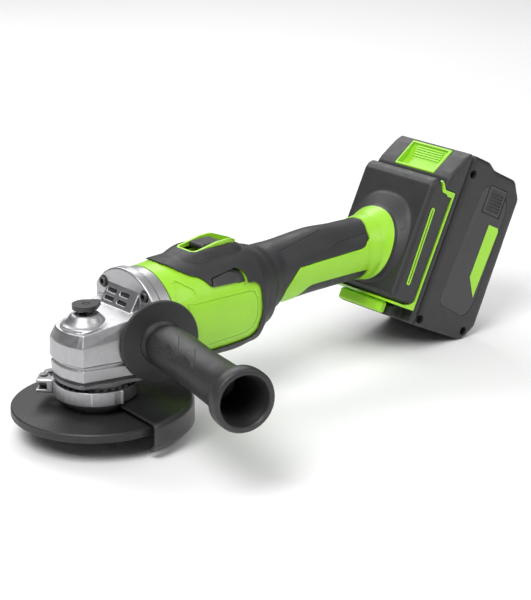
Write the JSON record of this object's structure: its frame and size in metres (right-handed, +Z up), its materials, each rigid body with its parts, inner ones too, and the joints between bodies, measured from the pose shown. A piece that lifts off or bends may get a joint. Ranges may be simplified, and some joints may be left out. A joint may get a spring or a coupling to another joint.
{
  "type": "angle grinder",
  "caption": "Cordless angle grinder with a half guard, quick-release clamp lever, side handle and slide-on battery.",
  "frame": {"origin": "centre of the spindle's lower end face", "axes": "+X back along the body towards the battery, +Z up along the spindle, -Y out towards the fitted side handle"},
  "size_m": [0.4264, 0.2246, 0.1422],
  "materials": {
    "lime": "bright green moulded plastic, semi-gloss",
    "soft_grip": "dark grey soft overmould, fine matt texture",
    "dark_shell": "dark grey moulded plastic, fine matt texture",
    "cast_aluminium": "die-cast and lightly blasted",
    "black_steel": "satin black coated steel",
    "bright_steel": "zinc plated or ground steel",
    "abrasive": "resin-bonded abrasive grain",
    "cell_steel": "wrapped battery cells",
    "copper": "wound copper and sintered bronze",
    "board": "printed board"
  },
  "bodies": {
    "tool_body": {"gear_housing": "cast_aluminium", "bearing_cover": "cast_aluminium", "cover_gasket": "soft_grip", "cover_screw_1": "black_steel", "cover_screw_2": "black_steel", "cover_screw_3": "black_steel", "cover_screw_4": "black_steel", "flange_screw_1": "black_steel", "flange_screw_2": "black_steel", "flange_screw_3": "black_steel", "flange_screw_4": "black_steel", "lock_spring": "bright_steel", "spindle_bearing_lower": "bright_steel", "spindle_bush_upper": "copper", "stator": "copper", "front_bearing": "bright_steel", "rear_bearing": "bright_steel", "air_baffle": "dark_shell", "motor_housing": "lime", "air_inlet_cover_right": "dark_shell", "air_inlet_cover_left": "dark_shell", "motor_overmould": "soft_grip", "switch_frame": "lime", "switch_module": "dark_shell", "handle_shell_left": "dark_shell", "handle_shell_right": "dark_shell", "handle_stripe_right": "lime", "handle_stripe_left": "lime", "handle_collar": "lime", "foot_seal": "lime", "foot_end_block": "lime", "terminal_block": "dark_shell", "controller_board": "board"},
    "spindle_group": {"spindle": "bright_steel", "crown_gear": "bright_steel", "inner_flange": "black_steel", "grinding_wheel": "abrasive", "clamp_nut": "black_steel"},
    "rotor_group": {"motor_shaft": "bright_steel", "pinion": "bright_steel", "rotor": "black_steel", "cooling_fan": "dark_shell"},
    "guard_group": {"guard": "black_steel", "clamp_band": "black_steel", "lever_pin": "bright_steel", "link_pin": "bright_steel"},
    "lever_group": {"clamp_lever": "bright_steel"},
    "lock_group": {"spindle_lock_button": "dark_shell", "lock_pin": "bright_steel"},
    "switch_group": {"switch_slider": "dark_shell", "switch_rod": "dark_shell"},
    "side_handle_group": {"side_handle": "soft_grip", "side_handle_stud": "bright_steel"},
    "battery_group": {"battery_base": "dark_shell", "battery_cover": "dark_shell", "cell_pack": "cell_steel"},
    "latch_group": {"battery_latch": "lime"},
    "gauge_group": {"charge_gauge_button": "dark_shell"}
  },
  "joints": [
    {"name": "spindle_spin", "type": "hinge", "parent": "tool_body", "child": "spindle_group", "pos_m": [0, 0, 0], "axis": [0, 0, 1], "continuous": true},
    {"name": "rotor_spin", "type": "hinge", "parent": "tool_body", "child": "rotor_group", "pos_m": [0, 0, 0.065], "axis": [1, 0, 0], "continuous": true},
    {"name": "guard_turn", "type": "hinge", "parent": "tool_body", "child": "guard_group", "pos_m": [0, 0, 0], "axis": [0, 0, 1], "range_deg": [-90, 90]},
    {"name": "clamp_lever_open", "type": "hinge", "parent": "guard_group", "child": "lever_group", "pos_m": [-0.023, 0.0275, 0.0262], "axis": [0, 0, -1], "range_deg": [0, 100]},
    {"name": "lock_button_press", "type": "slide", "parent": "tool_body", "child": "lock_group", "axis": [0, 0, -1], "range_m": [0, 0.003], "stiffness_N_per_m": 500, "deforming": ["lock_spring"]},
    {"name": "switch_slide", "type": "slide", "parent": "tool_body", "child": "switch_group", "axis": [-1, 0, 0], "range_m": [0, 0.007]},
    {"name": "side_handle_unscrew", "type": "slide", "parent": "tool_body", "child": "side_handle_group", "axis": [-0.2469, -0.9688, 0.0209], "range_m": [0, 0.03]},
    {"name": "battery_slide", "type": "slide", "parent": "tool_body", "child": "battery_group", "axis": [0.4493, 0, 0.8934], "range_m": [0, 0.11]},
    {"name": "battery_latch_press", "type": "slide", "parent": "battery_group", "child": "latch_group", "axis": [0.5636, 0, -0.826], "range_m": [0, 0.002], "stiffness_N_per_m": 400},
    {"name": "gauge_button_press", "type": "slide", "parent": "battery_group", "child": "gauge_group", "axis": [0, 1, 0], "range_m": [0, 0.001], "stiffness_N_per_m": 300}
  ],
  "couplings": [
    {"joint": "rotor_spin", "follows": "spindle_spin", "ratio": 3.3636}
  ]
}
